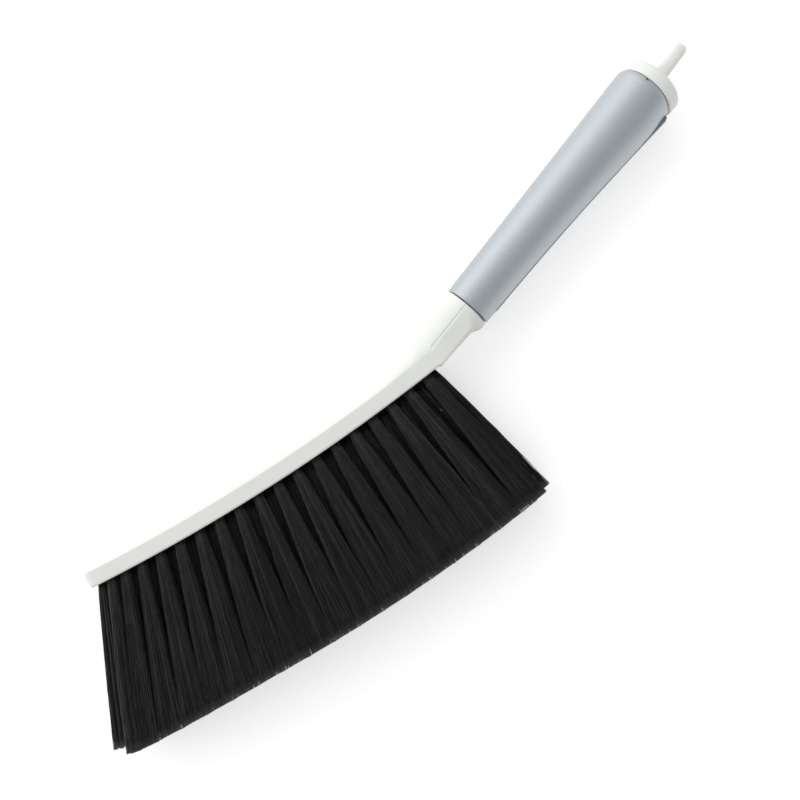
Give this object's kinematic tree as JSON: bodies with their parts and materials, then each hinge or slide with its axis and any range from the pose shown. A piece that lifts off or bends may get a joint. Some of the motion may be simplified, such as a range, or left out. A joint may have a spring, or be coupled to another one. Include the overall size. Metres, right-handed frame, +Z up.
{
  "type": "bed brush",
  "caption": "Bed brush: a long curved white back set with rows of leaning black bristle tufts, a tapered grey sleeved grip and a white end cap with a hanging loop",
  "frame": {"origin": "middle of the bounding box, at the bottom, where the brush lies on its side", "axes": "+X along the handle from the bar's toe to the hanging loop, -Y the way the bristles point, +Z up out of the surface that the brush lies on"},
  "size_m": [0.4056, 0.1338, 0.0298],
  "materials": {
    "white_plastic": "smooth satin moulding",
    "cap_plastic": "smooth satin moulding",
    "grip_satin": "satin",
    "strip_rubber": "matte",
    "filament": "satin filaments"
  },
  "bodies": {
    "root": {"brush_back": "white_plastic", "grip_sleeve": "grip_satin", "grip_underside_strip": "strip_rubber", "end_cap": "cap_plastic", "tuft_near_01": "filament", "tuft_near_02": "filament", "tuft_near_03": "filament", "tuft_near_04": "filament", "tuft_near_05": "filament", "tuft_near_06": "filament", "tuft_near_07": "filament", "tuft_near_08": "filament", "tuft_near_09": "filament", "tuft_near_10": "filament", "tuft_near_11": "filament", "tuft_near_12": "filament", "tuft_near_13": "filament", "tuft_near_14": "filament", "tuft_near_15": "filament", "tuft_near_16": "filament", "tuft_near_17": "filament", "tuft_near_18": "filament", "tuft_middle_01": "filament", "tuft_middle_02": "filament", "tuft_middle_03": "filament", "tuft_middle_04": "filament", "tuft_middle_05": "filament", "tuft_middle_06": "filament", "tuft_middle_07": "filament", "tuft_middle_08": "filament", "tuft_middle_09": "filament", "tuft_middle_10": "filament", "tuft_middle_11": "filament", "tuft_middle_12": "filament", "tuft_middle_13": "filament", "tuft_middle_14": "filament", "tuft_middle_15": "filament", "tuft_middle_16": "filament", "tuft_middle_17": "filament", "tuft_middle_18": "filament", "tuft_middle_19": "filament", "tuft_far_01": "filament", "tuft_far_02": "filament", "tuft_far_03": "filament", "tuft_far_04": "filament", "tuft_far_05": "filament", "tuft_far_06": "filament", "tuft_far_07": "filament", "tuft_far_08": "filament", "tuft_far_09": "filament", "tuft_far_10": "filament", "tuft_far_11": "filament", "tuft_far_12": "filament", "tuft_far_13": "filament", "tuft_far_14": "filament", "tuft_far_15": "filament", "tuft_far_16": "filament", "tuft_far_17": "filament", "tuft_far_18": "filament"}
  },
  "joints": []
}
